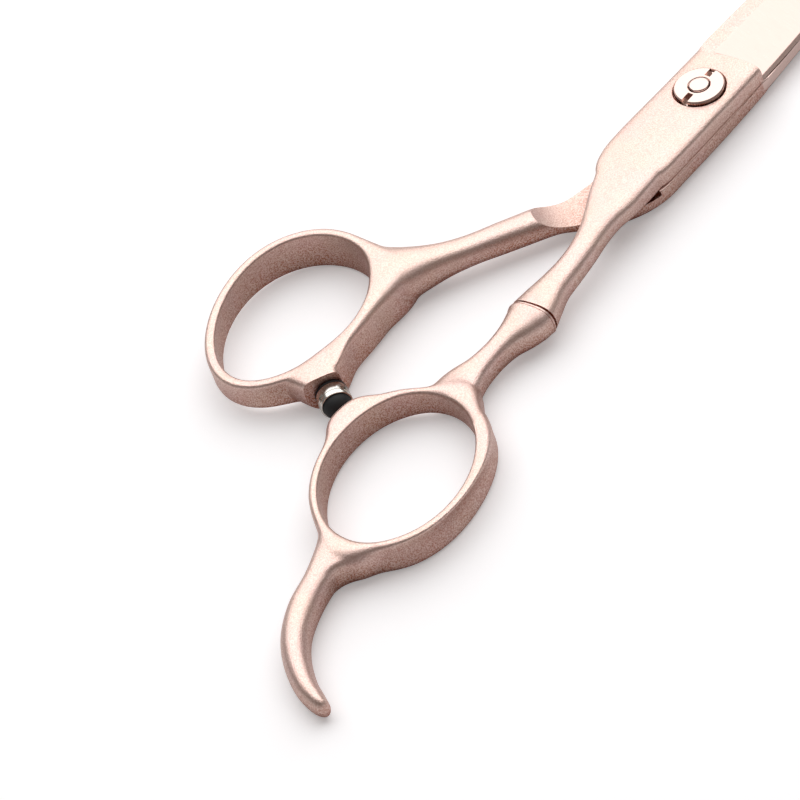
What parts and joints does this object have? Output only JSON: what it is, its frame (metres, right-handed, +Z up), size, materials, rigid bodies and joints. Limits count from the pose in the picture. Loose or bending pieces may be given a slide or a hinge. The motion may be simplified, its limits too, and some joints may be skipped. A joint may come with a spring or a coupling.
{
  "type": "hair cutting shears",
  "caption": "Offset-handle hair cutting shears with two bevelled blades on an adjustable pivot, a finger rest and a silencer between the rings.",
  "frame": {"origin": "on the pivot axis, at the underside of the bolt head, the level the shears lie on", "axes": "+X from the pivot to the blade tips, +Y towards the thumb ring, +Z up along the pivot axis towards the tension nut"},
  "size_m": [0.1855, 0.0591, 0.0075],
  "materials": {
    "blade_steel": "rose gold coated steel, satin and polished bevel",
    "handle_steel": "rose gold coated steel, fine matte bead-blasted",
    "bolt_steel": "polished",
    "bushing": "machined bronze",
    "washer": "self-lubricating plastic",
    "spring_steel": "spring steel",
    "nut_steel": "rose gold coated, polished",
    "screw_steel": "plain steel",
    "rubber": "black rubber",
    "sleeve_steel": "bright plated"
  },
  "bodies": {
    "finger_half": {"finger_blade": "blade_steel", "finger_handle": "handle_steel", "pivot_bushing": "bushing"},
    "thumb_half": {"thumb_blade": "blade_steel", "thumb_handle": "handle_steel", "pivot_bolt": "bolt_steel", "glide_washer": "washer", "silencer_screw": "screw_steel", "silencer_pad": "rubber", "silencer_sleeve": "sleeve_steel"},
    "spring": {"tension_spring": "spring_steel"},
    "nut": {"tension_nut": "nut_steel"}
  },
  "joints": [
    {"name": "pivot", "type": "hinge", "parent": "finger_half", "child": "thumb_half", "pos_m": [0, 0, 0.0035], "axis": [0, 0, -1], "range_deg": [0, 138]},
    {"name": "nut_rise", "type": "slide", "parent": "thumb_half", "child": "spring", "axis": [0, 0, 1], "range_m": [0, 0.000175]},
    {"name": "nut_turn", "type": "hinge", "parent": "spring", "child": "nut", "pos_m": [0, 0, 0.0066], "axis": [0, 0, 1], "range_deg": [0, 180]}
  ],
  "couplings": [
    {"joint": "nut_turn", "follows": "nut_rise", "rad_per_m": 17950}
  ]
}
